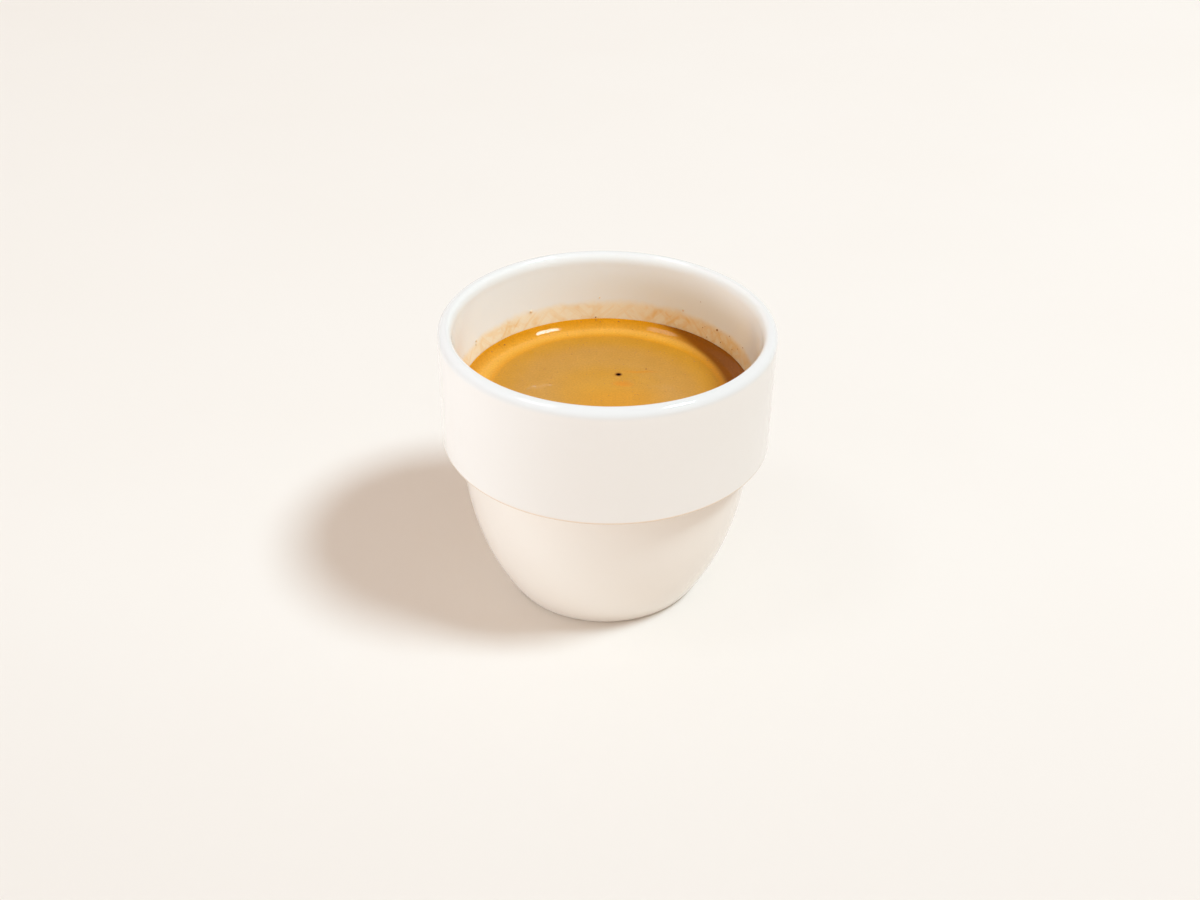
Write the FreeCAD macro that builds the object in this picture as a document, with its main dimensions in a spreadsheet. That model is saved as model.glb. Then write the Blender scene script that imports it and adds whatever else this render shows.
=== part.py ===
import FreeCAD, Part
import os
import Sketcher

# A stacking tumbler of thick white porcelain, filled with an americano under its crema.
# Frame: +Z up on the cup's own axis, origin on the table under the middle of the foot.

# Driving dimensions, in millimetres.
SIZES = {
    # outside of the cup
    "cupHeight": 74.2,
    "rimRadius": 42.0,
    "bandTaper": 0.26,  # the straight band is this much narrower at its lower edge
    "ledgeDepth": 31.7,  # from the rim down to the ledge that rests on the next cup
    "ledgeWidth": 4.6,
    "footRadius": 25.12,
    # roundings of the outside
    "rimOuterRound": 2.1,
    "ledgeEdgeRound": 0.64,
    "ledgeCornerRound": 0.5,
    "footEdgeRound": 0.7,
    # foot ring and the hollow that it stands round
    "footRingWidth": 3.2,
    "recessDepth": 1.2,
    "recessFlare": 0.8,
    # inside of the cup
    "rimInnerRound": 1.6,
    "wallSlope": 0.1,  # how far the wall comes in for each millimetre down
    "shoulderRise": 9.7,  # the wall starts to turn in this far above the ledge
    "shoulderRound": 15.0,
    "bowlWall": 3.6,
    "floorThickness": 5.5,
    "floorCornerRound": 10.0,
    # the drink
    "levelDepth": 20.0,  # from the rim down to the flat of the crema
    "meniscusRise": 1.6,
    "meniscusReach": 4.75,
    "cremaThickness": 3.0,
    "slabOverlap": 1.0,  # how far the crema's slab runs into the wall before it is trimmed
}

# Heights and radii that follow from them, as expressions over the sheet.
ledgeHeight = "(dims.cupHeight - dims.ledgeDepth)"
bandRadius = "(dims.rimRadius - dims.bandTaper)"
bowlRadius = f"({bandRadius} - dims.ledgeWidth)"
bowlReach = f"({ledgeHeight} / sqrt(1 - (dims.footRadius / {bowlRadius}) ^ 2))"
recessRadius = "(dims.footRadius - dims.footRingWidth)"
recessFloorRadius = f"({recessRadius} - dims.recessFlare)"
rimRoundHeight = "(dims.cupHeight - dims.rimOuterRound)"
crownRadius = "(dims.rimRadius - dims.rimOuterRound)"
throatRadius = f"({crownRadius} - dims.rimInnerRound)"
throatHeight = "(dims.cupHeight - dims.rimInnerRound)"
shoulderHeight = f"({ledgeHeight} + dims.shoulderRise)"
shoulderDrop = f"({throatHeight} - {shoulderHeight})"
shoulderRadius = f"({throatRadius} - {shoulderDrop} * dims.wallSlope)"
cavityRadius = f"({bowlRadius} - dims.bowlWall)"
cavityReach = f"({bowlReach} - dims.bowlWall)"
cavityDrop = f"({ledgeHeight} - dims.floorThickness)"
floorRadius = f"({cavityRadius} * sqrt(1 - ({cavityDrop} / {cavityReach}) ^ 2))"
levelHeight = "(dims.cupHeight - dims.levelDepth)"
contactDepth = "(dims.levelDepth - dims.meniscusRise)"
contactRadius = f"({throatRadius} - ({contactDepth} - dims.rimInnerRound) * dims.wallSlope)"
meniscusStart = f"({contactRadius} - dims.meniscusReach)"
meniscusRound = "((dims.meniscusReach ^ 2 + dims.meniscusRise ^ 2) / (2 * dims.meniscusRise))"
meniscusCentre = f"({levelHeight} + {meniscusRound})"
slabRadius = f"({contactRadius} + dims.slabOverlap)"
slabRun = "(dims.meniscusReach + dims.slabOverlap)"
slabTop = f"({meniscusCentre} - sqrt({meniscusRound} ^ 2 - {slabRun} ^ 2))"
coffeeTop = f"({levelHeight} - dims.cremaThickness)"

doc = FreeCAD.newDocument("americano")
sheet = doc.addObject("Spreadsheet::Sheet", "dims")
for row, (name, size) in enumerate(SIZES.items(), start=1):
    sheet.set(f"A{row}", name)
    sheet.set(f"B{row}", str(size))
    sheet.setAlias(f"B{row}", name)
doc.recompute()


def value(expression):
    """The number that an expression over the sheet comes to."""
    return float(sheet.evalExpression(expression.replace("dims.", "")))


def point(across, up):
    """A place in a sketch by its radius and height. None lies on the sketch's own axis."""
    return FreeCAD.Vector(value(across) if across else 0, value(up) if up else 0, 0)


def bind(sketch, kind, item, end, name, expression):
    """Dimension a point of an item from the sketch's origin and tie it to the sheet."""
    constraint = Sketcher.Constraint(kind, -1, 1, item, end, value(expression))
    sketch.renameConstraint(sketch.addConstraint(constraint), name)
    sketch.setExpression(f"Constraints.{name}", expression)


def pin(sketch, item, end, name, across, up):
    """Hold a point of an item at a radius and a height. None holds it on an axis."""
    if across is None:
        sketch.addConstraint(Sketcher.Constraint("PointOnObject", item, end, -2))
    else:
        bind(sketch, "DistanceX", item, end, f"{name}Across", across)
    if up is None:
        sketch.addConstraint(Sketcher.Constraint("PointOnObject", item, end, -1))
    else:
        bind(sketch, "DistanceY", item, end, f"{name}Up", up)


def circleArc(centre, start, end):
    """The short arc about a centre from one point to another."""
    middle = (start + end) * 0.5 - centre
    middle.normalize()
    return Part.Arc(start, centre + middle * start.distanceToPoint(centre), end)


def ellipseArc(centre, start, end):
    """The arc of an upright ellipse that ends beside its centre, at its full width."""
    width = end.x - centre.x
    drop = centre.y - start.y
    reach = drop / (1 - (start.x / width) ** 2) ** 0.5
    ellipse = Part.Ellipse(centre - FreeCAD.Vector(0, reach, 0), end, centre)
    return Part.ArcOfEllipse(ellipse, ellipse.parameter(start), ellipse.parameter(end))


def endAt(sketch, item, place):
    """Which end of an item lies at a place: 1 for its start, 2 for its end."""
    return 1 if sketch.getPoint(item, 1).isEqual(place, 1e-5) else 2


def drawOutline(body, name, corners, arcs, ellipses):
    """Sketch a closed outline on the body's XZ plane. A line starts at each corner, or the arc
    or ellipse whose centre is given for that corner's number."""
    sketch = body.newObject("Sketcher::SketchObject", name)
    plane = next(item for item in body.Origin.OriginFeatures if item.Role == "XZ_Plane")
    sketch.AttachmentSupport = [(plane, "")]
    sketch.MapMode = "FlatFace"
    places = [point(*corner) for corner in corners]
    count = len(corners)
    for item, start in enumerate(places):
        end = places[(item + 1) % count]
        if item in arcs:
            sketch.addGeometry(circleArc(point(*arcs[item]), start, end), False)
        elif item in ellipses:
            sketch.addGeometry(ellipseArc(point(*ellipses[item]), start, end), False)
        else:
            sketch.addGeometry(Part.LineSegment(start, end), False)
    for item, place in enumerate(places):
        before = (item - 1) % count
        ends = (before, endAt(sketch, before, place), item, endAt(sketch, item, place))
        sketch.addConstraint(Sketcher.Constraint("Coincident", *ends))
        pin(sketch, item, ends[3], f"corner{item}", *corners[item])
    for item, centre in arcs.items():
        bind(sketch, "DistanceX", item, 3, f"centre{item}Across", centre[0])
    for item, centre in ellipses.items():
        pin(sketch, item, 3, f"centre{item}", *centre)
        sketch.exposeInternalGeometry(item)
        sketch.addConstraint(Sketcher.Constraint("Vertical", count))
    return sketch


def turn(body, sketch):
    """Revolve an outline about the cup's axis."""
    solid = body.newObject("PartDesign::Revolution", f"{sketch.Name}Turned")
    solid.Profile = sketch
    solid.ReferenceAxis = (sketch, ["V_Axis"])
    solid.Angle = 360
    doc.recompute()
    return solid


def roundEdges(body, base, name, places, radius):
    """Round the circular edges that lie at these radii and heights."""
    edges = []
    for index, edge in enumerate(base.Shape.Edges, start=1):
        centre = edge.BoundBox.Center
        for across, up in places:
            spot = FreeCAD.Vector(0, 0, value(up) if up else 0)
            wide = abs(edge.BoundBox.XLength / 2 - value(across)) < 1e-4
            if wide and edge.isClosed() and centre.isEqual(spot, 1e-4):
                edges.append(f"Edge{index}")
    if len(edges) != len(places):
        raise RuntimeError(f"{name} found {len(edges)} edges of {len(places)}")
    rounding = body.newObject("PartDesign::Fillet", name)
    rounding.Base = (base, edges)
    rounding.setExpression("Radius", f"dims.{radius}")
    doc.recompute()
    return rounding


def makeBlank():
    """The cup's outside, solid through: foot ring, bowl, ledge, band and the rim's outer half."""
    body = doc.addObject("PartDesign::Body", "cupBlank")
    corners = [
        (None, "dims.recessDepth"),
        (recessFloorRadius, "dims.recessDepth"),
        (recessRadius, None),
        ("dims.footRadius", None),
        (bowlRadius, ledgeHeight),
        (bandRadius, ledgeHeight),
        ("dims.rimRadius", rimRoundHeight),
        (crownRadius, "dims.cupHeight"),
        (None, "dims.cupHeight"),
    ]
    arcs = {6: (crownRadius, rimRoundHeight)}
    ellipses = {3: (None, ledgeHeight)}
    solid = turn(body, drawOutline(body, "outside", corners, arcs, ellipses))
    foot = [("dims.footRadius", None), (recessRadius, None)]
    solid = roundEdges(body, solid, "footEdges", foot, "footEdgeRound")
    solid = roundEdges(body, solid, "ledgeEdge", [(bandRadius, ledgeHeight)], "ledgeEdgeRound")
    roundEdges(body, solid, "ledgeCorner", [(bowlRadius, ledgeHeight)], "ledgeCornerRound")
    return body


def makeCavity():
    """The space inside the cup, up to the crown of the rim."""
    body = doc.addObject("PartDesign::Body", "cavity")
    corners = [
        (None, "dims.floorThickness"),
        (floorRadius, "dims.floorThickness"),
        (cavityRadius, ledgeHeight),
        (shoulderRadius, shoulderHeight),
        (throatRadius, throatHeight),
        (crownRadius, "dims.cupHeight"),
        (None, "dims.cupHeight"),
    ]
    arcs = {4: (crownRadius, throatHeight)}
    ellipses = {1: (None, ledgeHeight)}
    solid = turn(body, drawOutline(body, "inside", corners, arcs, ellipses))
    shoulder = [(cavityRadius, ledgeHeight), (shoulderRadius, shoulderHeight)]
    solid = roundEdges(body, solid, "shoulderEdges", shoulder, "shoulderRound")
    floor = [(floorRadius, "dims.floorThickness")]
    roundEdges(body, solid, "floorCorner", floor, "floorCornerRound")
    return body


def makeCremaSlab():
    """A foam slab, flat in the middle and drawn up the wall, wider than the cavity."""
    body = doc.addObject("PartDesign::Body", "cremaSlab")
    corners = [
        (None, coffeeTop),
        (slabRadius, coffeeTop),
        (slabRadius, slabTop),
        (meniscusStart, levelHeight),
        (None, levelHeight),
    ]
    arcs = {2: (meniscusStart, meniscusCentre)}
    turn(body, drawOutline(body, "foam", corners, arcs, {}))
    return body


def makeCoffeeReach():
    """A cylinder wider than the cavity, from the table up to the underside of the crema."""
    cylinder = doc.addObject("Part::Cylinder", "coffeeReach")
    cylinder.setExpression("Radius", "dims.rimRadius")
    cylinder.setExpression("Height", coffeeTop)
    return cylinder


def combine(kind, name, first, second):
    """A labelled piece from two solids of the document."""
    piece = doc.addObject(kind, name)
    piece.Label = name
    if kind == "Part::Cut":
        piece.Base = first
        piece.Tool = second
    else:
        piece.Shapes = [first, second]
    return piece


blank = makeBlank()
cavity = makeCavity()
pieces = [
    combine("Part::Cut", "cup", blank, cavity),
    combine("Part::MultiCommon", "coffee", cavity, makeCoffeeReach()),
    combine("Part::MultiCommon", "crema", cavity, makeCremaSlab()),
]
doc.recompute()

for item in doc.Objects:
    if "Invalid" in item.State or "Error" in item.State:
        raise RuntimeError(f"{item.Label} did not compute: {item.State}")
for piece in pieces:
    if piece.Shape.isNull() or not piece.Shape.isValid() or len(piece.Shape.Solids) != 1:
        raise RuntimeError(f"{piece.Label} is not one valid solid")

os.makedirs("parts", exist_ok=True)
for piece in pieces:
    piece.Shape.exportStep(f"parts/{piece.Label}.step")
    box = piece.Shape.BoundBox
    print(f"{piece.Label}: {piece.Shape.Volume / 1000:.1f} ml, z {box.ZMin:.2f} to {box.ZMax:.2f}")
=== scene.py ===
import math
import random
import bpy
from mathutils import Matrix, Vector


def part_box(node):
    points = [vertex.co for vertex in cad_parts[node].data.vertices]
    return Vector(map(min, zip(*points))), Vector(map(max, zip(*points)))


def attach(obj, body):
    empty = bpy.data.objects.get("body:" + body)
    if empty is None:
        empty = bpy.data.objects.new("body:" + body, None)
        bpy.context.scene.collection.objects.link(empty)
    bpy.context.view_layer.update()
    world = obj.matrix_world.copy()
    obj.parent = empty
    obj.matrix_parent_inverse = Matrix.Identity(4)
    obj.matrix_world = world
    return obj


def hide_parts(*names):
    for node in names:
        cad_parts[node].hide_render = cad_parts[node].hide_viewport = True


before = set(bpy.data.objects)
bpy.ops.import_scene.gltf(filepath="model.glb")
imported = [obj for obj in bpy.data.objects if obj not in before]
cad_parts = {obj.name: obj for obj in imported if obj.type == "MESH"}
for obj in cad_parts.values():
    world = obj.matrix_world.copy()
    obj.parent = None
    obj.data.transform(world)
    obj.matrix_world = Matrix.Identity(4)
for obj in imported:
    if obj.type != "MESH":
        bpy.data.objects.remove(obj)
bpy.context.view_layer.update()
print("frame loaded")

mm = 0.001


def deselectAll():
    if bpy.context.mode != "OBJECT":
        bpy.ops.object.mode_set(mode="OBJECT")
    bpy.ops.object.select_all(action="DESELECT")


def linear(hexColour):
    # sRGB hex to the linear colour that a shader socket wants
    channels = [int(hexColour[i:i + 2], 16) / 255 for i in (1, 3, 5)]
    return tuple(c / 12.92 if c <= 0.04045 else ((c + 0.055) / 1.055) ** 2.4 for c in channels) + (1,)


def addNode(tree, kind, inputs=(), output=0, **settings):
    # one node; its inputs are values or other nodes' outputs, in order or by name
    node = tree.nodes.new("ShaderNode" + kind)
    for name, setting in settings.items():
        setattr(node, name, setting)
    for name, source in (inputs.items() if isinstance(inputs, dict) else enumerate(inputs)):
        if isinstance(source, bpy.types.NodeSocket):
            tree.links.new(source, node.inputs[name])
        else:
            node.inputs[name].default_value = source
    return node.outputs[output] if len(node.outputs) else node


def newMaterial(name):
    material = bpy.data.materials.new(name)
    material.use_nodes = True
    tree = material.node_tree
    tree.nodes.clear()
    shader = addNode(tree, "BsdfPrincipled")
    addNode(tree, "OutputMaterial", [shader])
    return material, tree, shader.node.inputs


def roundedOutline(corners, steps=7, hold=0.35):
    # corners are (radius, height, rounding) in mm; a rounding becomes an arc held by a point each side
    outline = []
    for index, (r, z, rounding) in enumerate(corners):
        here = Vector((r, z))
        if not rounding:
            outline.append(here)
            continue
        back = (Vector(corners[index - 1][:2]) - here).normalized()
        ahead = (Vector(corners[index + 1][:2]) - here).normalized()
        half = back.angle(ahead) / 2
        run = rounding / math.tan(half)
        centre = here + (back + ahead).normalized() * rounding / math.sin(half)
        first, last = here + back * run, here + ahead * run
        startAngle = math.atan2(*(first - centre).yx)
        sweep = math.atan2(*(last - centre).yx) - startAngle
        sweep = (sweep + math.pi) % (2 * math.pi) - math.pi
        outline.append(first + back * hold)
        for step in range(steps + 1):
            angle = startAngle + sweep * step / steps
            outline.append(centre + Vector((math.cos(angle), math.sin(angle))) * rounding)
        outline.append(last + ahead * hold)
    return outline


def closePole():
    bpy.ops.mesh.extrude_region_move(TRANSFORM_OT_translate={"value": (0, 0, 0)})
    bpy.ops.mesh.merge(type="CENTER")


def turnedPiece(name, outline, segments):
    # starts as a circle, drawn out ring by ring along the outline, and closed at both poles
    deselectAll()
    radius, height = outline[0]
    bpy.ops.mesh.primitive_circle_add(vertices=segments, radius=radius * mm, location=(0, 0, height * mm))
    piece = bpy.context.object
    piece.name = name
    bpy.ops.object.transform_apply(location=True, rotation=True, scale=True)
    bpy.ops.object.mode_set(mode="EDIT")
    for nextRadius, nextHeight in outline[1:]:
        rise = (nextHeight - height) * mm
        scale = nextRadius / radius
        bpy.ops.mesh.extrude_region_move(TRANSFORM_OT_translate={"value": (0, 0, rise)})
        middle = (0, 0, nextHeight * mm)
        bpy.ops.transform.resize(value=(scale, scale, 1), center_override=middle)
        radius, height = nextRadius, nextHeight
    closePole()
    bpy.ops.mesh.select_all(action="DESELECT")
    bpy.ops.mesh.select_mode(type="EDGE")
    bpy.ops.mesh.select_non_manifold()
    closePole()
    bpy.ops.mesh.select_all(action="SELECT")
    bpy.ops.mesh.normals_make_consistent(inside=False)
    bpy.ops.object.mode_set(mode="OBJECT")
    bpy.ops.object.shade_smooth()
    return piece


def selectFaces(piece, wanted):
    # leaves edit mode on with only the faces whose middle passes the test selected
    deselectAll()
    piece.select_set(True)
    bpy.context.view_layer.objects.active = piece
    bpy.ops.object.mode_set(mode="EDIT")
    bpy.ops.mesh.select_mode(type="FACE")
    bpy.ops.mesh.select_all(action="DESELECT")
    bpy.ops.object.mode_set(mode="OBJECT")
    for face in piece.data.polygons:
        face.select = wanted(face.center / mm)
    bpy.ops.object.mode_set(mode="EDIT")


def swellSurface(piece, sizeMm, depthMm):
    # a slow swell, always inwards, so that the piece stays within its own outline
    texture = bpy.data.textures.new(piece.name + "Swell", "CLOUDS")
    texture.noise_scale = sizeMm * mm
    texture.noise_depth = 1
    swell = piece.modifiers.new("swell", "DISPLACE")
    swell.texture = texture
    swell.texture_coords = "GLOBAL"
    swell.strength = depthMm * mm
    swell.mid_level = 1.0
    deselectAll()
    piece.select_set(True)
    bpy.context.view_layer.objects.active = piece
    bpy.ops.object.modifier_apply(modifier=swell.name)


def dress(piece, material, slot, *nodes):
    piece.data.materials.clear()
    piece.data.materials.append(material)
    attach(piece, "root")
    if nodes:
        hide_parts(*nodes)


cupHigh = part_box("cup")[1]
cremaLow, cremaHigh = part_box("crema")
rimRadius = cupHigh.x / mm
cupHeight = cupHigh.z / mm
contactRadius = cremaHigh.x / mm  # where the crema meets the wall
contactHeight = cremaHigh.z / mm
cremaBottom = cremaLow.z / mm

cup = {
    "segments": 256,
    "bandTaper": 0.26,
    "ledgeDepth": 31.7,
    "ledgeWidth": 4.6,
    "footRadius": 25.12,
    "rimOuterRound": 2.1,
    "rimInnerRound": 1.6,
    "ledgeEdgeRound": 0.64,
    "ledgeCornerRound": 0.6,
    "footEdgeRound": 0.7,
    "footRingWidth": 3.2,
    "recessDepth": 1.2,
    "recessFlare": 0.8,
    "wallSlope": 0.1,
    "shoulderRise": 9.7,
    "shoulderRound": 15.0,
    "bowlWall": 3.6,
    "floorThickness": 5.5,
    "floorCornerRound": 10.0,
    "undersidePole": 9.0,  # radius of the flat that closes the underside
    "cavityPole": 6.0,  # the same for the floor inside
    "outerCurve": (1.4, 1.2, 26),  # starts above the foot, ends below the ledge, steps
    "cavityCurve": (4.0, 14.0, 14),  # starts below the ledge, ends above the foot, steps
    "bandFlare": (0.1, 10.0),  # how much wider the band is, and how far above the ledge
    "roundSteps": 12,
    "rimSoftness": 2.2,  # how much taller than wide the rim's inner rounding is
    "glazeSwell": 0.10,  # how far the glaze thins between its thick places, in mm
    "swellSize": 22,
    # tints, and the mm over which each zone of the glaze begins
    "outerGlaze": ("#F0E9E1", "#EEE7DE"),
    # the bowl is painted warmer: partly its own tone, partly painted warm bounce light from the floor
    "bowlBounceGlaze": "#F2E8DC",
    "bowlZone": (0.5, -1.0),  # above the ledge
    # painted light: the glaze inside the cup is painted lighter and cooler than outside
    "innerLitGlaze": "#F6FAF8",
    "innerZone": (0.6, 0.2),  # outside the crown, outside the throat
    "innerAbove": (7.5, 10.5),  # above the ledge
    # painted shade: the crown of the rim is painted greyer
    "rimShadedGlaze": "#E6E4E0",
    "rimBelow": (3.0, 1.2),  # below the top
    "rimFade": 1.0,  # inside the crown
    # painted bounce light: a warm line painted along the ledge
    "ledgeBounceTint": "#E6C6A2",
    "ledgeBounceSpan": (0.15, 0.7, 0.3),  # its middle above the ledge, where it ends and where it is full
    "ledgeBounceStrength": 0.8,
    "bareClay": ("#E6DED1", "#F0E9DD"),
    "bareBelow": (0.35, 0.2),
    # sizes of the patterns in mm
    "tintSize": 30.0,
    "smearSize": 14.0,
    "skinSize": 5.0,
    "gritSize": 0.4,
    "skinDepth": 0.05,
    "roughness": (0.035, 0.04),  # of the glaze, and how much a smear adds
    "filmRoughness": 0.08,
    "bareRoughness": 0.55,
}
ledgeHeight = cupHeight - cup["ledgeDepth"]
crownRadius = rimRadius - cup["rimOuterRound"]
throatRadius = crownRadius - cup["rimInnerRound"]


def ellipseStretch(width, reach, centreHeight, fromHeight, toHeight, steps):
    heights = [fromHeight + (toHeight - fromHeight) * i / steps for i in range(steps + 1)]
    return [(width * math.sqrt(1 - ((centreHeight - z) / reach) ** 2), z, 0) for z in heights]


def arcStretch(centreRadius, centreHeight, radius, fromDegrees, toDegrees, steps):
    points = []
    for step in range(steps + 1):
        angle = math.radians(fromDegrees + (toDegrees - fromDegrees) * step / steps)
        points.append((centreRadius + radius * math.cos(angle), centreHeight + radius * math.sin(angle), 0))
    return points


def cupOutline():
    bandRadius = rimRadius - cup["bandTaper"]
    bowlRadius = bandRadius - cup["ledgeWidth"]
    reach = ledgeHeight / math.sqrt(1 - (cup["footRadius"] / bowlRadius) ** 2)
    ringInside = cup["footRadius"] - cup["footRingWidth"]
    throatHeight = cupHeight - cup["rimInnerRound"]
    shoulder = ledgeHeight + cup["shoulderRise"]
    shoulderRadius = throatRadius - (throatHeight - shoulder) * cup["wallSlope"]
    cavityRadius = bowlRadius - cup["bowlWall"]
    cavityReach = reach - cup["bowlWall"]
    floor = cup["floorThickness"]
    floorRadius = cavityRadius * math.sqrt(1 - ((ledgeHeight - floor) / cavityReach) ** 2)
    fromFoot, toLedge, steps = cup["outerCurve"]
    flare, flareRise = cup["bandFlare"]
    roundSteps = cup["roundSteps"]
    corners = [(cup["undersidePole"], cup["recessDepth"], 0)]
    corners += [(ringInside - cup["recessFlare"], cup["recessDepth"], 0.4), (ringInside, 0, 0.5)]
    corners += [(cup["footRadius"], 0, cup["footEdgeRound"])]
    corners += ellipseStretch(bowlRadius, reach, ledgeHeight, fromFoot, ledgeHeight - toLedge, steps)
    corners += [(bowlRadius, ledgeHeight, cup["ledgeCornerRound"])]
    corners += [(bandRadius, ledgeHeight, cup["ledgeEdgeRound"])]
    corners += [(bandRadius + flare, ledgeHeight + flareRise, 0)]
    corners += [(rimRadius, cupHeight - cup["rimOuterRound"] - 0.4, 0)]
    crownHeight = cupHeight - cup["rimOuterRound"]
    corners += arcStretch(crownRadius, crownHeight, cup["rimOuterRound"], 0, 90, roundSteps)
    for r, z, _ in arcStretch(crownRadius, 0, cup["rimInnerRound"], 90, 180, roundSteps)[1:]:
        corners += [(r, cupHeight - (cup["rimInnerRound"] - z) * cup["rimSoftness"], 0)]
    corners += [(throatRadius - 0.06, corners[-1][1] - 0.6, 0)]
    corners += [(shoulderRadius, shoulder, cup["shoulderRound"])]
    corners += [(cavityRadius, ledgeHeight, cup["shoulderRound"])]
    belowLedge, aboveFoot, steps = cup["cavityCurve"]
    cavityTop = ledgeHeight - belowLedge
    corners += ellipseStretch(cavityRadius, cavityReach, ledgeHeight, cavityTop, aboveFoot, steps)
    corners += [(floorRadius, floor, cup["floorCornerRound"]), (cup["cavityPole"], floor, 0)]
    return roundedOutline(corners)


stain = {
    "reachUp": (4.3, 1.2),  # mm above the crema at the sides, and how much more at the back
    "backTowards": (0.09, 1, 0),
    "edgeWave": (8.0, 2.6),  # size of the edge's slow waves and their swing, in mm
    "edgeFringe": (1.6, 0.9),  # the same for its fine fringe
    "edgeFade": (1.08, 0.62),  # where the film ends and where it is full, as a share of its height
    "wallFade": 0.6,
    "startsBelow": (-2.0, -1.0),  # above the crema
    "thin": "#FCF4DC",
    "dense": "#F4D090",
    "strokeSize": 3.0,
    "strokeLean": 28.0,  # how steeply the strokes cross the wall, in radians round for each metre up
    "strokeEdge": (0.46, 0.68),
    "laceCell": 3.6,
    "laceEdge": (0.24, 0.04),
    "laceWarp": (2.5, 3.0),  # size and swing of what bends the loops, in mm
    "patchSize": 7.0,
    "patchEdge": (0.40, 0.62),
    "weights": (0.36, 0.34, 0.08),  # how dense the strokes, the loops and the patches are
    "topFade": (0.5, 1.0, 1.0, 0.4),  # the marks fade from half way up
    "rightSide": (0.1, 0.9, 0.08, 0.34),  # the film is denser towards the right
}


def coffeeStain(tree, place, radius, outwards, height):
    # the film that the drink left when it swilled: where it lies, and how dense it is there
    above = addNode(tree, "Math", [height, 1 / mm, -contactHeight], operation="MULTIPLY_ADD")
    back = addNode(tree, "VectorMath", [outwards, stain["backTowards"]], 1, operation="DOT_PRODUCT")
    right = addNode(tree, "VectorMath", [outwards, (1, 0, 0)], 1, operation="DOT_PRODUCT")
    level, backRise = stain["reachUp"]
    waves = [stain["edgeWave"], stain["edgeFringe"]]
    lowest = level - sum(swing for _, swing in waves) / 2
    edge = addNode(tree, "Math", [back, backRise, lowest], operation="MULTIPLY_ADD")
    for size, swing in waves:
        wave = addNode(tree, "TexNoise", {"Vector": place, "Scale": 1 / (size * mm), "Detail": 2.0})
        edge = addNode(tree, "Math", [wave, swing, edge], operation="MULTIPLY_ADD")
    upTo = addNode(tree, "Math", [above, edge], operation="DIVIDE")
    fade = [upTo, *stain["edgeFade"], 0.0, 1.0]
    film = addNode(tree, "MapRange", fade, interpolation_type="SMOOTHSTEP")
    fade = [radius, (throatRadius + stain["wallFade"]) * mm, throatRadius * mm, 0.0, 1.0]
    wall = addNode(tree, "MapRange", fade, interpolation_type="SMOOTHSTEP")
    overCrema = addNode(tree, "MapRange", [above, *stain["startsBelow"], 0.0, 1.0])
    inside = addNode(tree, "Math", [wall, overCrema], operation="MULTIPLY")

    strokes = []
    for lean in (stain["strokeLean"], -stain["strokeLean"]):
        angle = addNode(tree, "Math", [height, lean], operation="MULTIPLY")
        around = {"Vector": place, "Angle": angle}
        turned = addNode(tree, "VectorRotate", around, rotation_type="Z_AXIS")
        drawnOut = addNode(tree, "VectorMath", [turned, (1, 1, 0.3)], operation="MULTIPLY")
        noise = {"Vector": drawnOut, "Scale": 1 / (stain["strokeSize"] * mm)}
        noise.update({"Detail": 3.0, "Roughness": 0.6, "Distortion": 0.7})
        stroke = [addNode(tree, "TexNoise", noise), *stain["strokeEdge"], 0.0, 1.0]
        strokes.append(addNode(tree, "MapRange", stroke, interpolation_type="SMOOTHSTEP"))
    lacing = addNode(tree, "Math", strokes, operation="MAXIMUM")
    size, swing = stain["laceWarp"]
    warp = addNode(tree, "TexNoise", {"Vector": place, "Scale": 1 / (size * mm), "Detail": 2.0}, 1)
    shift = addNode(tree, "VectorMath", {0: warp, "Scale": swing * mm}, operation="SCALE")
    warped = addNode(tree, "VectorMath", [place, shift], operation="ADD")
    cells = {"Vector": warped, "Scale": 1 / (stain["laceCell"] * mm)}
    cellEdge = addNode(tree, "TexVoronoi", cells, feature="DISTANCE_TO_EDGE")
    loops = [cellEdge, *stain["laceEdge"], 0.0, 1.0]
    loops = addNode(tree, "MapRange", loops, interpolation_type="SMOOTHSTEP")
    noise = {"Vector": place, "Scale": 1 / (stain["patchSize"] * mm), "Detail": 2.0}
    patches = [addNode(tree, "TexNoise", noise), *stain["patchEdge"], 0.0, 1.0]
    patches = addNode(tree, "MapRange", patches, interpolation_type="SMOOTHSTEP")
    fading = addNode(tree, "MapRange", [upTo, *stain["topFade"]], interpolation_type="SMOOTHSTEP")
    darkSide = addNode(tree, "MapRange", [right, *stain["rightSide"]], interpolation_type="SMOOTHSTEP")

    strokeWeight, loopWeight, patchWeight = stain["weights"]
    marks = addNode(tree, "Math", [lacing, strokeWeight], operation="MULTIPLY")
    laced = addNode(tree, "Math", [loops, patches], operation="MULTIPLY")
    marks = addNode(tree, "Math", [laced, loopWeight, marks], operation="MULTIPLY_ADD")
    marks = addNode(tree, "Math", [patches, patchWeight, marks], operation="MULTIPLY_ADD")
    density = addNode(tree, "Math", [marks, fading, darkSide], operation="MULTIPLY_ADD", use_clamp=True)
    return addNode(tree, "Math", [film, inside], operation="MULTIPLY"), density


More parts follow.
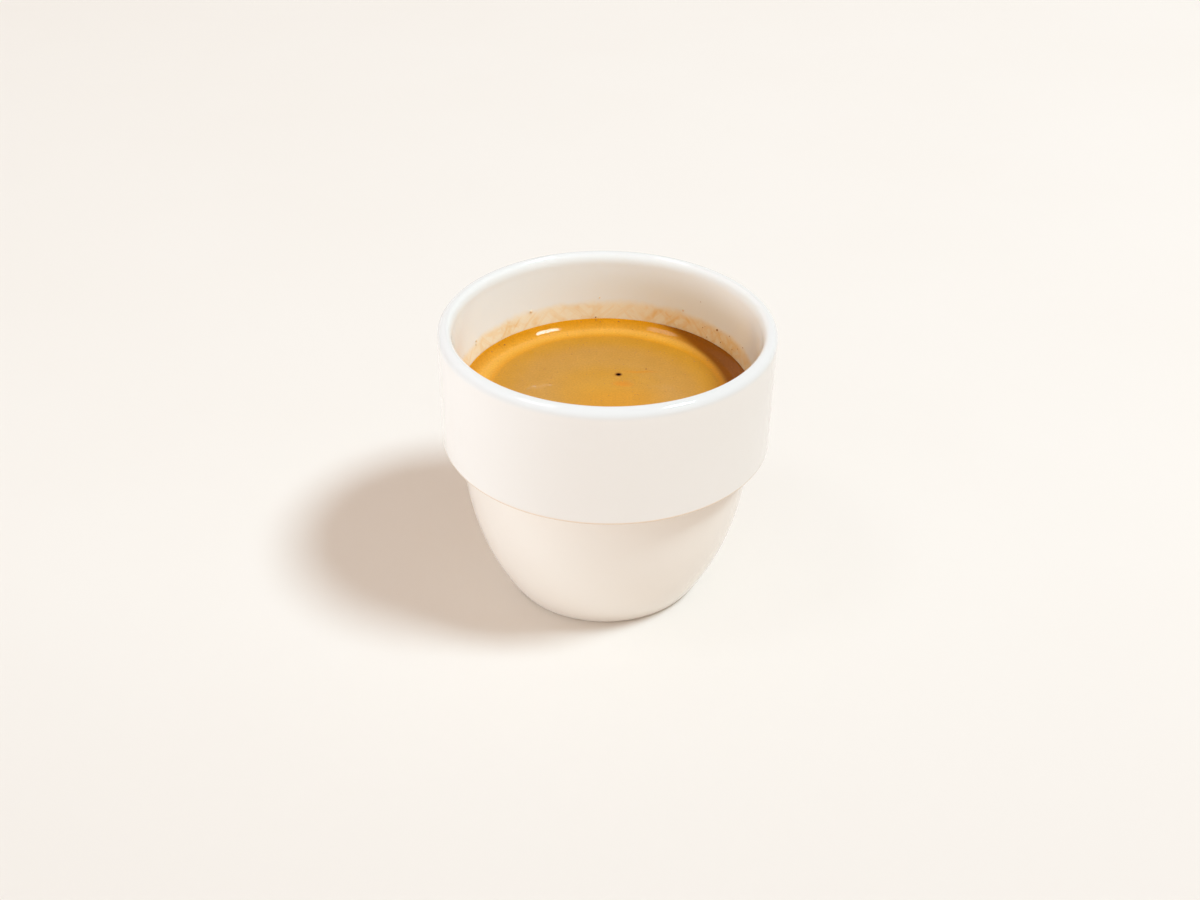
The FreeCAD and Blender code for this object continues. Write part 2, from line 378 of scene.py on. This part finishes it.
def glazedPorcelain():
    # cast porcelain under a clear glaze, fired: dense white with a faint random tint, and painted light and
    # shade
    # in zones: lighter and cooler inside, greyer on the rim, warmer on the bowl (partly its own tone), a warm
    # line along the ledge; crisp reflections on a slightly uneven skin, and a dry chalky foot ring, wiped
    # bare before firing
    material, tree, surface = newMaterial("glazedPorcelain")
    place = addNode(tree, "TexCoord", output=3)
    height = addNode(tree, "SeparateXYZ", [place], 2)
    flat = addNode(tree, "VectorMath", [place, (1, 1, 0)], operation="MULTIPLY")
    radius = addNode(tree, "VectorMath", [flat], 1, operation="LENGTH")
    outwards = addNode(tree, "VectorMath", [flat], operation="NORMALIZE")

    thick = addNode(tree, "TexNoise", {"Vector": place, "Scale": 1 / (cup["tintSize"] * mm)})
    first, second = [linear(tint) for tint in cup["outerGlaze"]]
    outer = addNode(tree, "Mix", {0: thick, 6: first, 7: second}, 2, data_type="RGBA")
    # bowl zone: partly its own tone, partly painted warm bounce light
    zone = [(ledgeHeight + above) * mm for above in cup["bowlZone"]]
    bowl = addNode(tree, "MapRange", [height, *zone, 0.0, 1.0])
    outer = addNode(tree, "Mix", {0: bowl, 6: outer, 7: linear(cup["bowlBounceGlaze"])}, 2, data_type="RGBA")
    # painted light inside the cup, above the crema
    outsideCrown, outsideThroat = cup["innerZone"]
    zone = [(crownRadius + outsideCrown) * mm, (throatRadius + outsideThroat) * mm]
    inside = addNode(tree, "MapRange", [radius, *zone, 0.0, 1.0], interpolation_type="SMOOTHSTEP")
    zone = [(ledgeHeight + above) * mm for above in cup["innerAbove"]]
    high = addNode(tree, "MapRange", [height, *zone, 0.0, 1.0])
    inside = addNode(tree, "Math", [inside, high], operation="MULTIPLY")
    inner = {0: inside, 6: outer, 7: linear(cup["innerLitGlaze"])}
    body = addNode(tree, "Mix", inner, 2, data_type="RGBA")

    # painted shade on the crown of the rim
    zone = [(cupHeight - below) * mm for below in cup["rimBelow"]]
    crown = addNode(tree, "MapRange", [height, *zone, 0.0, 1.0], interpolation_type="SMOOTHSTEP")
    zone = [(crownRadius - cup["rimFade"]) * mm, crownRadius * mm]
    outside = addNode(tree, "MapRange", [radius, *zone, 0.0, 1.0], interpolation_type="SMOOTHSTEP")
    crown = addNode(tree, "Math", [crown, outside], operation="MULTIPLY")
    body = addNode(tree, "Mix", {0: crown, 6: body, 7: linear(cup["rimShadedGlaze"])}, 2, data_type="RGBA")
    # a warm line of painted bounce light along the ledge
    lineAbove, lineEnd, lineFull = cup["ledgeBounceSpan"]
    offLedge = addNode(tree, "Math", [height, (ledgeHeight + lineAbove) * mm], operation="SUBTRACT")
    offLedge = addNode(tree, "Math", [offLedge], operation="ABSOLUTE")
    bounceLine = [offLedge, lineEnd * mm, lineFull * mm, 0.0, cup["ledgeBounceStrength"]]
    bounceLine = addNode(tree, "MapRange", bounceLine)
    body = addNode(tree, "Mix", {0: bounceLine, 6: body, 7: linear(cup["ledgeBounceTint"])}, 2, data_type="RGBA")

    film, density = coffeeStain(tree, place, radius, outwards, height)
    tints = {0: density, 6: linear(stain["thin"]), 7: linear(stain["dense"])}
    filmColour = addNode(tree, "Mix", tints, 2, data_type="RGBA")
    body = addNode(tree, "Mix", {0: film, 6: body, 7: filmColour}, 2, data_type="RGBA")

    zone = [below * mm for below in cup["bareBelow"]]
    bare = addNode(tree, "MapRange", [height, *zone, 0.0, 1.0])
    noise = {"Vector": place, "Scale": 1 / (cup["gritSize"] * mm), "Detail": 3.0}
    grit = addNode(tree, "TexNoise", noise)
    pale, dark = [linear(tint) for tint in cup["bareClay"]]
    clay = addNode(tree, "Mix", {0: grit, 6: pale, 7: dark}, 2, data_type="RGBA")
    body = addNode(tree, "Mix", {0: bare, 6: body, 7: clay}, 2, data_type="RGBA")
    tree.links.new(body, surface["Base Color"])

    smear = addNode(tree, "TexNoise", {"Vector": place, "Scale": 1 / (cup["smearSize"] * mm)})
    smooth, smeared = cup["roughness"]
    gloss = addNode(tree, "Math", [smear, smeared, smooth], operation="MULTIPLY_ADD")
    gloss = addNode(tree, "Math", [film, cup["filmRoughness"], gloss], operation="MULTIPLY_ADD")
    gloss = addNode(tree, "Math", [bare, cup["bareRoughness"], gloss], operation="MULTIPLY_ADD")
    tree.links.new(gloss, surface["Roughness"])
    surface["IOR"].default_value = 1.5
    skin = addNode(tree, "TexNoise", {"Vector": place, "Scale": 1 / (cup["skinSize"] * mm)})
    chalk = addNode(tree, "Math", [grit, bare], operation="MULTIPLY")
    relief = addNode(tree, "Math", [chalk, 0.3, skin], operation="MULTIPLY_ADD")
    relief = {"Height": relief, "Strength": 0.25, "Distance": cup["skinDepth"] * mm}
    tree.links.new(addNode(tree, "Bump", relief), surface["Normal"])
    return material


porcelainCup = turnedPiece("porcelainCup", cupOutline(), cup["segments"])
swellSurface(porcelainCup, cup["swellSize"], cup["glazeSwell"])
dress(porcelainCup, glazedPorcelain(), "porcelain", "cup")
print("cup turned and glazed:", len(porcelainCup.data.polygons), "faces")


crema = {
    "segments": 288,
    "swell": 0.08,
    "swellSize": 9,
    # where the meniscus starts and is steepest, in mm from the middle, and its slope there and at the wall
    "meniscus": (33.2, 34.5, 0.86, 0.25),
    "intoWall": 0.15,
    "ringStep": 0.5,
    "fineStep": 0.12,
    "pole": (10, 1.2),  # radius of the flat that closes the underside, and of the one on top
    "pinhole": (3.0, 9.3, 0.55, 1.3),  # x, y, radius and depth
    "pinholeSteps": ((0.15, 0.9), (0.45, 0.86), (0.7, 0.75)),  # share of the depth, and how much narrower
    # centre and radius of a circle; outside it the crema is painted darker, a painted shadow of the rim
    "darkSide": (-13.6, -1.2, 44.2),
    "colours": {
        # distance from the middle in mm: colour
        0: "#D29522",
        10: "#CB902C",
        16: "#C7903C",
        22: "#C58D38",
        27: "#C78B24",
        29.2: "#CA8B20",
        30.1: "#DC951F",
        32: "#E8A93E",
        33.4: "#EAAA46",
        34.2: "#E09C30",
        35.2: "#D8901A",
        36.1: "#D28608",
        36.62: "#DC940E",
    },
    "frontTint": "#D5901A",
    "smear": "#D88508",
    # colour of the painted shadow of the rim on the crema
    "rimShadowFoam": "#9E5C00",
    "pinholeEdge": "#8A4A06",
    "pinholeDark": "#0C0401",
    "drift": (9.0, 3.0, 0.6),  # size of the bends in the rings, their swing, and the swing near the wall
    "driftCalms": (24.0, 30.0),
    # sizes of the patterns in mm
    "grainSize": 0.5,
    "grainShade": (0.88, 1.10),
    "cloudSize": 4.5,
    "cloudShade": (0.97, 1.03),
    "filmSize": 3.0,
    "rippleSize": 2.4,
    "skinDepth": 0.05,
    "roughness": (0.03, 0.04),  # of the film of oil, and how much its patches add
}


def climbAt(radius):
    # how far the crema has climbed above its flat middle, at a distance from the middle, in mm
    start, crest, steepest, last = crema["meniscus"]
    t = min(max((radius - start) / (crest - start), 0), 1)
    climb = steepest * (crest - start) * (t ** 3 - t ** 4 / 2)
    width = contactRadius - crest
    u = max((radius - crest) / width, 0)
    return climb + steepest * width * u + (last - steepest) * width * (u ** 3 - u ** 4 / 2)


def foamHeight(radius):
    return contactHeight - climbAt(contactRadius) + climbAt(radius)


def cremaOutline():
    under = contactRadius - (contactHeight - cremaBottom) * cup["wallSlope"] + crema["intoWall"]
    edge = contactRadius - 0.02
    underPole, topPole = crema["pole"]
    corners = [(underPole, cremaBottom, 0), (under - 0.3, cremaBottom, 0), (under, cremaBottom + 0.3, 0)]
    corners += [(contactRadius + 0.06, contactHeight - 0.4, 0), (edge, contactHeight - 0.01, 0)]
    radius = edge - 0.1
    pinPlace = math.hypot(*crema["pinhole"][:2])
    while radius > topPole:
        corners.append((radius, foamHeight(radius), 0))
        fine = abs(radius - pinPlace) < 1.0 or radius > crema["meniscus"][0] - 0.5
        radius -= crema["fineStep"] if fine else crema["ringStep"]
    return roundedOutline(corners)


def sinkPinhole(piece):
    x, y, radius, depth = crema["pinhole"]
    floor = cremaBottom + 1
    selectFaces(piece, lambda at: at.z > floor and math.hypot(at.x - x, at.y - y) < radius)
    middle = (x * mm, y * mm, foamHeight(0) * mm)
    for drop, shrink in crema["pinholeSteps"]:
        bpy.ops.mesh.extrude_region_move(TRANSFORM_OT_translate={"value": (0, 0, -drop * depth * mm)})
        bpy.ops.transform.resize(value=(shrink, shrink, 1), center_override=middle)
    bpy.ops.object.mode_set(mode="OBJECT")


def coffeeFoam():
    # crema: wet foam of bubbles finer than 0.1 mm under a film of coffee oil, khaki where it lies deep
    # and orange where it thins and climbs the wall; its grain is drawn at 0.5 mm so that it shows
    material, tree, surface = newMaterial("coffeeFoam")
    place = addNode(tree, "TexCoord", output=3)
    flat = addNode(tree, "VectorMath", [place, (1, 1, 0)], operation="MULTIPLY")
    radius = addNode(tree, "VectorMath", [flat], 1, operation="LENGTH")
    size, swing, calmSwing = crema["drift"]
    drift = addNode(tree, "TexNoise", {"Vector": flat, "Scale": 1 / (size * mm)}, 1)
    drift = addNode(tree, "VectorMath", [drift, (0.5, 0.5, 0.5)], operation="SUBTRACT")
    calm = [radius, *[reach * mm for reach in crema["driftCalms"]], swing * mm, calmSwing * mm]
    calm = addNode(tree, "MapRange", calm, interpolation_type="SMOOTHSTEP")
    drift = addNode(tree, "VectorMath", {0: drift, "Scale": calm}, operation="SCALE")
    drawn = addNode(tree, "VectorMath", [flat, drift], operation="ADD")
    drawn = addNode(tree, "VectorMath", [drawn, (1, 1, 0)], operation="MULTIPLY")

    widest = max(crema["colours"])
    distance = addNode(tree, "VectorMath", [drawn], 1, operation="LENGTH")
    along = addNode(tree, "Math", [distance, widest * mm], operation="DIVIDE")
    colour = addNode(tree, "ValToRGB", [along])
    stops = colour.node.color_ramp.elements
    while len(stops) < len(crema["colours"]):
        stops.new(0.5)
    for stop, (reach, tint) in zip(stops, crema["colours"].items()):
        stop.position = reach / widest
        stop.color = linear(tint)

    pinX, pinY = crema["pinhole"][:2]
    shadowX, shadowY, shadowReach = crema["darkSide"]
    spots = [
        # tint, strength, x and y of the middle, half width and depth, where it fades from and to
        (crema["frontTint"], 0.75, drawn, 3, -4, 15, 9, 1.1, 0.2),
        (crema["smear"], 0.80, drawn, pinX + 1.0, pinY - 4.5, 3.2, 1.8, 1.2, 0.1),
        (crema["smear"], 0.45, drawn, pinX + 5.5, pinY + 1.4, 5.0, 0.9, 1.3, 0.1),
        # painted shadow of the rim: darker outside the circle
        (crema["rimShadowFoam"], 1.0, flat, shadowX, shadowY, shadowReach, shadowReach, 0.985, 1.035),
        (crema["pinholeEdge"], 1.0, flat, pinX, pinY, 1, 1, 1.3, 0.55),
        (crema["pinholeDark"], 1.0, flat, pinX, pinY, 1, 1, 0.66, 0.5),
    ]
    for tint, strength, where, x, y, width, depth, fadeFrom, fadeTo in spots:
        moved = addNode(tree, "VectorMath", [where, (x * mm, y * mm, 0)], operation="SUBTRACT")
        scaled = addNode(tree, "VectorMath", [moved, (width * mm, depth * mm, 1)], operation="DIVIDE")
        away = addNode(tree, "VectorMath", [scaled], 1, operation="LENGTH")
        spot = [away, fadeFrom, fadeTo, 0.0, strength]
        spot = addNode(tree, "MapRange", spot, interpolation_type="SMOOTHSTEP")
        colour = addNode(tree, "Mix", {0: spot, 6: colour, 7: linear(tint)}, 2, data_type="RGBA")

    noise = {"Vector": place, "Scale": 1 / (crema["grainSize"] * mm), "Roughness": 0.6}
    grain = addNode(tree, "TexNoise", noise)
    noise = {"Vector": drawn, "Scale": 1 / (crema["cloudSize"] * mm), "Detail": 3.0}
    cloud = addNode(tree, "TexNoise", noise)
    grainShade = addNode(tree, "MapRange", [grain, 0.25, 0.75, *crema["grainShade"]])
    cloudShade = addNode(tree, "MapRange", [cloud, 0.3, 0.7, *crema["cloudShade"]])
    shade = addNode(tree, "Math", [grainShade, cloudShade], operation="MULTIPLY")
    shaded = addNode(tree, "HueSaturation", {"Value": shade, "Color": colour})
    tree.links.new(shaded, surface["Base Color"])

    film = addNode(tree, "TexNoise", {"Vector": place, "Scale": 1 / (crema["filmSize"] * mm)})
    smooth, patchy = crema["roughness"]
    gloss = addNode(tree, "Math", [film, patchy, smooth], operation="MULTIPLY_ADD")
    tree.links.new(gloss, surface["Roughness"])
    surface["IOR"].default_value = 1.38
    surface["Specular IOR Level"].default_value = 0.24
    ripple = addNode(tree, "TexNoise", {"Vector": place, "Scale": 1 / (crema["rippleSize"] * mm)})
    relief = addNode(tree, "Math", [grain, 0.10, ripple], operation="MULTIPLY_ADD")
    relief = {"Height": relief, "Strength": 0.25, "Distance": crema["skinDepth"] * mm}
    tree.links.new(addNode(tree, "Bump", relief), surface["Normal"])
    return material


cremaFoam = turnedPiece("cremaFoam", cremaOutline(), crema["segments"])
sinkPinhole(cremaFoam)
swellSurface(cremaFoam, crema["swellSize"], crema["swell"])
dress(cremaFoam, coffeeFoam(), "crema", "crema")
print("crema laid:", len(cremaFoam.data.polygons), "faces")


coffee = {"deep": "#1C0B03", "shallow": "#3A1A07", "cloudSize": 12.0}


def brewedCoffee():
    # black coffee under the crema: a clear dark liquid, near black in depth and mirror smooth
    material, tree, surface = newMaterial("brewedCoffee")
    place = addNode(tree, "TexCoord", output=3)
    cloud = addNode(tree, "TexNoise", {"Vector": place, "Scale": 1 / (coffee["cloudSize"] * mm)})
    tints = {0: cloud, 6: linear(coffee["deep"]), 7: linear(coffee["shallow"])}
    tree.links.new(addNode(tree, "Mix", tints, 2, data_type="RGBA"), surface["Base Color"])
    surface["Roughness"].default_value = 0.05
    surface["IOR"].default_value = 1.34
    return material


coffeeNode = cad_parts["coffee"]
coffeeNode.data.materials.clear()
coffeeNode.data.materials.append(brewedCoffee())
print("coffee coloured")


beadShape = {"height": 0.55, "underside": 0.6}  # against a ball, and of the lower half against the upper
foamSpeck = {
    "seed": 11,
    "count": 320,
    "reach": 35.4,
    "sizes": (0.08, 0.16),
    "sunk": 0.15,  # share of its radius
    "fleckSize": 0.8,
    "marks": [
        # x, y and radius in mm
        (10.2, 12.4, 0.26), (-9.3, 19.6, 0.20), (-11.5, 16.5, 0.17), (-15.6, 18.9, 0.18), (-1.8, 11.5, 0.18),
        (-6.8, 11.6, 0.15), (-9.6, 11.5, 0.15), (-16.3, 11.3, 0.17), (2.2, 12.3, 0.17), (11.0, 21.7, 0.17),
        (4.8, 24.2, 0.15), (26.3, 17.5, 0.17), (22.8, 16.9, 0.15), (-27.2, 22.2, 0.30), (-30.3, 18.1, 0.22),
        (-3.2, 35.9, 0.26), (-2.0, 35.4, 0.20), (3.0, 35.5, 0.24), (-7.2, 34.9, 0.20), (-28.6, 21.4, 0.20),
    ],
    "tints": ("#8E5018", "#C08038"),
}
wallSpeck = {
    "seed": 5,
    "count": 16,
    "sizes": (0.05, 0.10),
    "reachUp": 5.0,  # how far above the crema they lie, most of them low
    "sunk": 0.1,
    "marks": [
        # degrees round from the back, mm above the crema, radius in mm
        (51.1, 4.1, 0.30), (70.0, 4.8, 0.16), (62.2, 1.7, 0.15), (54.2, 1.4, 0.16), (46.0, 0.7, 0.15),
        (59.0, 4.6, 0.15), (43.2, 2.8, 0.14), (40.6, 9.6, 0.11), (-5.1, 0.25, 0.20), (66.0, 3.1, 0.13),
        (-141.0, 3.1, 0.26), (152.0, 2.2, 0.30), (118.0, 3.6, 0.22), (-104.0, 2.6, 0.24), (97.0, 4.4, 0.2),
    ],
}
wallDrop = {
    "cloudSize": 1.0,
    "marks": [
        (-33.5, 4.6, 0.42), (-66.2, 4.3, 0.34), (-66.8, 3.4, 0.28), (32.7, 5.5, 0.30), (-3.5, 5.9, 0.22),
        (121.0, 3.9, 0.36), (-128.0, 4.1, 0.3), (168.0, 2.8, 0.34),
    ],
    "tints": ("#F6E4C8", "#F0D8B0"),
}


def bead(name, rings, slices):
    # a low round bead: a ball flattened, and pressed flatter still on its underside
    deselectAll()
    bpy.ops.mesh.primitive_uv_sphere_add(segments=slices, ring_count=rings, radius=1.0)
    piece = bpy.context.object
    piece.name = name
    selectFaces(piece, lambda at: at.z < 0)
    bpy.ops.transform.resize(value=(1, 1, beadShape["underside"]), center_override=(0, 0, 0))
    bpy.ops.mesh.select_all(action="SELECT")
    bpy.ops.transform.resize(value=(1, 1, beadShape["height"]), center_override=(0, 0, 0))
    bpy.ops.object.mode_set(mode="OBJECT")
    bpy.ops.object.shade_smooth()
    return piece


def scatter(original, places):
    # copies of a bead, each at its own place, size and facing, joined into one piece
    name = original.name
    copies = []
    for centre, facing, radius in places:
        copy = original.copy()
        copy.data = original.data.copy()
        bpy.context.scene.collection.objects.link(copy)
        turn = Vector(facing).to_track_quat("Z", "Y").to_matrix().to_4x4()
        turn.translation = Vector(centre) * mm
        copy.data.transform(turn @ Matrix.Scale(radius * mm, 4))
        copies.append(copy)
    deselectAll()
    for copy in copies:
        copy.select_set(True)
    bpy.context.view_layer.objects.active = copies[0]
    bpy.ops.object.join()
    bpy.data.objects.remove(original)
    bpy.context.object.name = name
    return bpy.context.object


def onFoam(x, y, radius):
    height = foamHeight(math.hypot(x, y)) - crema["swell"] / 2 - foamSpeck["sunk"] * radius
    return (x, y, height), (0, 0, 1), radius


def onWall(degrees, above, radius):
    angle = math.radians(degrees)
    wallRadius = contactRadius + above * cup["wallSlope"] + wallSpeck["sunk"] * radius
    x, y = math.sin(angle), math.cos(angle)
    centre = (wallRadius * x, wallRadius * y, contactHeight + above)
    return centre, (-x, -y, cup["wallSlope"]), radius


def coffeeFines():
    # grounds too fine for the filter, and burst bubbles: brown, wet
    material, tree, surface = newMaterial("coffeeFines")
    place = addNode(tree, "TexCoord", output=3)
    fleck = addNode(tree, "TexNoise", {"Vector": place, "Scale": 1 / (foamSpeck["fleckSize"] * mm)})
    dark, pale = [linear(tint) for tint in foamSpeck["tints"]]
    body = addNode(tree, "Mix", {0: fleck, 6: dark, 7: pale}, 2, data_type="RGBA")
    tree.links.new(body, surface["Base Color"])
    surface["Roughness"].default_value = 0.5
    surface["Specular IOR Level"].default_value = 0.2
    return material


def thinCoffeeDrop():
    # drops of thin coffee on the glaze: pale amber, very shiny
    material, tree, surface = newMaterial("thinCoffeeDrop")
    place = addNode(tree, "TexCoord", output=3)
    cloud = addNode(tree, "TexNoise", {"Vector": place, "Scale": 1 / (wallDrop["cloudSize"] * mm)})
    pale, amber = [linear(tint) for tint in wallDrop["tints"]]
    body = addNode(tree, "Mix", {0: cloud, 6: pale, 7: amber}, 2, data_type="RGBA")
    tree.links.new(body, surface["Base Color"])
    surface["Roughness"].default_value = 0.04
    surface["IOR"].default_value = 1.34
    return material


fines = coffeeFines()
chance = random.Random(foamSpeck["seed"])
foamPlaces = [onFoam(*spot) for spot in foamSpeck["marks"]]
for _ in range(foamSpeck["count"]):
    distance = foamSpeck["reach"] * math.sqrt(chance.random())
    angle = chance.uniform(0, 2 * math.pi)
    size = chance.uniform(*foamSpeck["sizes"])
    foamPlaces.append(onFoam(distance * math.cos(angle), distance * math.sin(angle), size))
foamSpecks = scatter(bead("foamSpecks", 6, 10), foamPlaces)
dress(foamSpecks, fines, "crema")

chance = random.Random(wallSpeck["seed"])
wallPlaces = [onWall(*spot) for spot in wallSpeck["marks"]]
for _ in range(wallSpeck["count"]):
    degrees = chance.uniform(-180, 180)
    above = wallSpeck["reachUp"] * chance.random() ** 1.6 + 0.2
    wallPlaces.append(onWall(degrees, above, chance.uniform(*wallSpeck["sizes"])))
wallSpecks = scatter(bead("wallSpecks", 6, 10), wallPlaces)
dress(wallSpecks, fines, "crema")

wallDrops = scatter(bead("wallDrops", 8, 14), [onWall(*spot) for spot in wallDrop["marks"]])
dress(wallDrops, thinCoffeeDrop(), "crema")
print("specks and drops laid:", len(foamPlaces) + len(wallPlaces) + len(wallDrop["marks"]))


stage = {
    "floorSide": 3.2,
    "floorColours": ("#F1EBE3", "#EFE8DF"),
    "mottleSize": 90.0,
    "frontShadeColour": "#E9E1D8",  # painted shade: the board is painted a little greyer in front of the cup
    "frontShadeFrom": (20.0, -140.0),
    "frontShadeStrength": 0.8,
    # the room: a direction's parts run from -1 to 1, and each span is where a light begins and is full
    "skyColour": "#FFEDE0",
    "skyStrength": 0.67,
    "lowRightColour": "#8A6642",  # a warm dark corner of the room, low on the right
    "lowRightSpan": (-0.1, 0.6),
    "lowRightHeights": (0.42, 0.16),
    "lowLeftColour": "#D6EBFF",  # a long white screen, low on the left
    "lowLeftStrength": 6.9,
    "lowLeftTowards": (-0.90, -0.43, 0),
    "lowLeftSpan": (0.55, 0.85),
    "lowLeftHeights": (0.165, 0.10),
    # what the camera and reflections see: a pale room, its ceiling grey but for a window
    "farColour": "#FBF5ED",
    "ceilingColour": "#B4ACA2",
    "ceilingHeights": (0.62, 0.75),
    "windowColour": "#FFFFFF",
    "windowStrength": 5.0,
    "windowTowards": (-0.45, -0.15, 0.88),
    "windowTall": 2.2,  # times its width
    "windowEdge": (13.6, 10.9),  # degrees from its middle, where it fades out and where it is full
}
lamps = {
    # towards, distance in m, width and height in m, watts, colour
    "keyLamp": ((0.50, -0.15, 0.855), 4.0, (1.10, 0.85), 119.0, "#D6EEFE"),
    "highLamp": ((-0.45, -0.15, 0.88), 4.0, (1.00, 1.00), 5.5, "#F0F8FF"),
}
lampsAim = 40.0  # mm above the floor
view = {"place": (0, -0.348, 0.2621), "turn": (57.07, -0.70, 0.69), "lens": 48}


def paintedBoard():
    # a board painted with matt cream emulsion: no gloss, faint roller mottle
    material, tree, surface = newMaterial("paintedBoard")
    place = addNode(tree, "TexCoord", output=3)
    noise = {"Vector": place, "Scale": 1 / (stage["mottleSize"] * mm), "Detail": 4.0}
    mottle = addNode(tree, "TexNoise", noise)
    pale, dark = [linear(tint) for tint in stage["floorColours"]]
    paint = addNode(tree, "Mix", {0: mottle, 6: pale, 7: dark}, 2, data_type="RGBA")
    # painted shade: the board greys towards the front of the cup
    depth = addNode(tree, "SeparateXYZ", [place], 1)
    frontShade = [depth, *[reach * mm for reach in stage["frontShadeFrom"]], 0.0, stage["frontShadeStrength"]]
    frontShade = addNode(tree, "MapRange", frontShade, interpolation_type="SMOOTHSTEP")
    paint = addNode(tree, "Mix", {0: frontShade, 6: paint, 7: linear(stage["frontShadeColour"])}, 2, data_type="RGBA")
    tree.links.new(paint, surface["Base Color"])
    surface["Roughness"].default_value = 0.9
    surface["Specular IOR Level"].default_value = 0.2
    return material


deselectAll()
bpy.ops.mesh.primitive_plane_add(size=stage["floorSide"], location=(0, 0, 0))
floorBoard = bpy.context.object
floorBoard.name = "floorBoard"
floorBoard.data.materials.append(paintedBoard())

world = bpy.data.worlds.new("studio")
bpy.context.scene.world = world
world.use_nodes = True
sky = world.node_tree
sky.nodes.clear()
rays = addNode(sky, "LightPath").node.outputs
seen = addNode(sky, "Math", [rays["Is Camera Ray"], rays["Is Glossy Ray"]], operation="MAXIMUM")
seen = addNode(sky, "Math", [seen, rays["Is Transmission Ray"]], operation="MAXIMUM")
towards = addNode(sky, "TexCoord")
right, _, up = addNode(sky, "SeparateXYZ", [towards]).node.outputs
right = [right, *stage["lowRightSpan"], 0.0, 1.0]
right = addNode(sky, "MapRange", right, interpolation_type="SMOOTHSTEP")
low = addNode(sky, "MapRange", [up, *stage["lowRightHeights"], 0.0, 1.0], interpolation_type="SMOOTHSTEP")
corner = addNode(sky, "Math", [right, low], operation="MULTIPLY")
room = {0: corner, 6: linear(stage["skyColour"]), 7: linear(stage["lowRightColour"])}
roomLight = addNode(sky, "Background", [addNode(sky, "Mix", room, 2, data_type="RGBA"), stage["skyStrength"]])
facing = addNode(sky, "VectorMath", [towards, stage["lowLeftTowards"]], 1, operation="DOT_PRODUCT")
facing = [facing, *stage["lowLeftSpan"], 0.0, 1.0]
facing = addNode(sky, "MapRange", facing, interpolation_type="SMOOTHSTEP")
band = addNode(sky, "MapRange", [up, *stage["lowLeftHeights"], 0.0, 1.0], interpolation_type="SMOOTHSTEP")
screen = addNode(sky, "Math", [facing, band], operation="MULTIPLY")
screen = addNode(sky, "Math", [screen, stage["lowLeftStrength"]], operation="MULTIPLY")
screenLight = addNode(sky, "Background", [linear(stage["lowLeftColour"]), screen])
light = addNode(sky, "AddShader", [roomLight, screenLight])
over = addNode(sky, "MapRange", [up, *stage["ceilingHeights"], 0.0, 1.0], interpolation_type="SMOOTHSTEP")
above = {0: over, 6: linear(stage["farColour"]), 7: linear(stage["ceilingColour"])}
above = addNode(sky, "Mix", above, 2, data_type="RGBA")
backdrop = addNode(sky, "Background", [above, 1.0])
squash = Vector((1, 1, 1 / stage["windowTall"]))
squashed = addNode(sky, "VectorMath", [towards, squash], operation="MULTIPLY")
squashed = addNode(sky, "VectorMath", [squashed], operation="NORMALIZE")
middle = (Vector(stage["windowTowards"]) * squash).normalized()
window = addNode(sky, "VectorMath", [squashed, middle], 1, operation="DOT_PRODUCT")
fadeOut, full = [math.cos(math.radians(angle)) for angle in stage["windowEdge"]]
window = [window, fadeOut, full, 0.0, stage["windowStrength"]]
window = addNode(sky, "MapRange", window, interpolation_type="SMOOTHSTEP")
windowLight = addNode(sky, "Background", [linear(stage["windowColour"]), window])
backdrop = addNode(sky, "AddShader", [backdrop, windowLight])
addNode(sky, "OutputWorld", [addNode(sky, "MixShader", [seen, light, backdrop])])

for lampName, (towards, distance, size, watts, colour) in lamps.items():
    lampData = bpy.data.lights.new(lampName, "AREA")
    lampData.shape = "ELLIPSE"
    lampData.size, lampData.size_y = size
    lampData.energy = watts
    lampData.color = linear(colour)[:3]
    lamp = bpy.data.objects.new(lampName, lampData)
    bpy.context.scene.collection.objects.link(lamp)
    direction = Vector(towards).normalized()
    lamp.location = direction * distance + Vector((0, 0, lampsAim * mm))
    lamp.rotation_euler = direction.to_track_quat("Z", "Y").to_euler()

cameraData = bpy.data.cameras.new("camera")
cameraData.lens = view["lens"]
camera = bpy.data.objects.new("camera", cameraData)
camera.location = view["place"]
camera.rotation_euler = [math.radians(angle) for angle in view["turn"]]
bpy.context.scene.collection.objects.link(camera)
bpy.context.scene.camera = camera
bpy.context.scene.view_settings.view_transform = "Standard"
print("floor, lamps and camera set")
